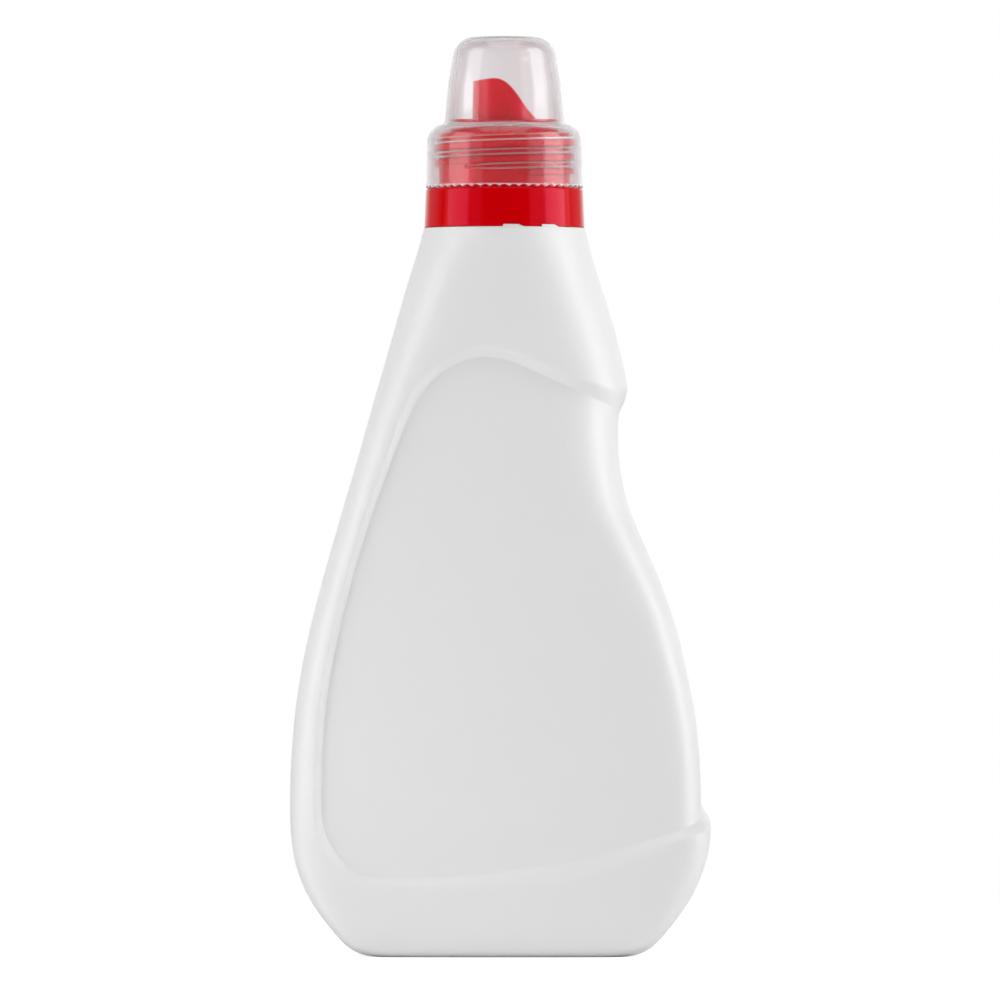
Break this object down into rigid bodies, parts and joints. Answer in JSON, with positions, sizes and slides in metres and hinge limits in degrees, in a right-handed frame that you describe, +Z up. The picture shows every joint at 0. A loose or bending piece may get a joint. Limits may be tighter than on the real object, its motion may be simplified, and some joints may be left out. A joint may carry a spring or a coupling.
{
  "type": "plastic bottle",
  "caption": "Waisted plastic bottle with a sunk label panel and grip side, a scoop pouring spout in a collar, and a stepped translucent dosing cap that lifts off.",
  "frame": {"origin": "middle of the object's outline on the standing face", "axes": "+Z up along the neck, +X towards the grip side, -Y towards the front label panel; the spout pours towards -X"},
  "size_m": [0.1237, 0.0646, 0.27],
  "materials": {
    "white_hdpe": "blow-moulded, satin",
    "red_pp": "injection-moulded, glossy",
    "natural_pp": "injection-moulded, translucent, fine satin"
  },
  "bodies": {
    "bottle": {"bottle": "white_hdpe", "pour_spout": "red_pp"},
    "cap": {"dosing_cap": "natural_pp"}
  },
  "joints": [
    {"name": "cap_lift", "type": "slide", "parent": "bottle", "child": "cap", "axis": [0, 0, 1], "range_m": [0, 0.07]}
  ]
}
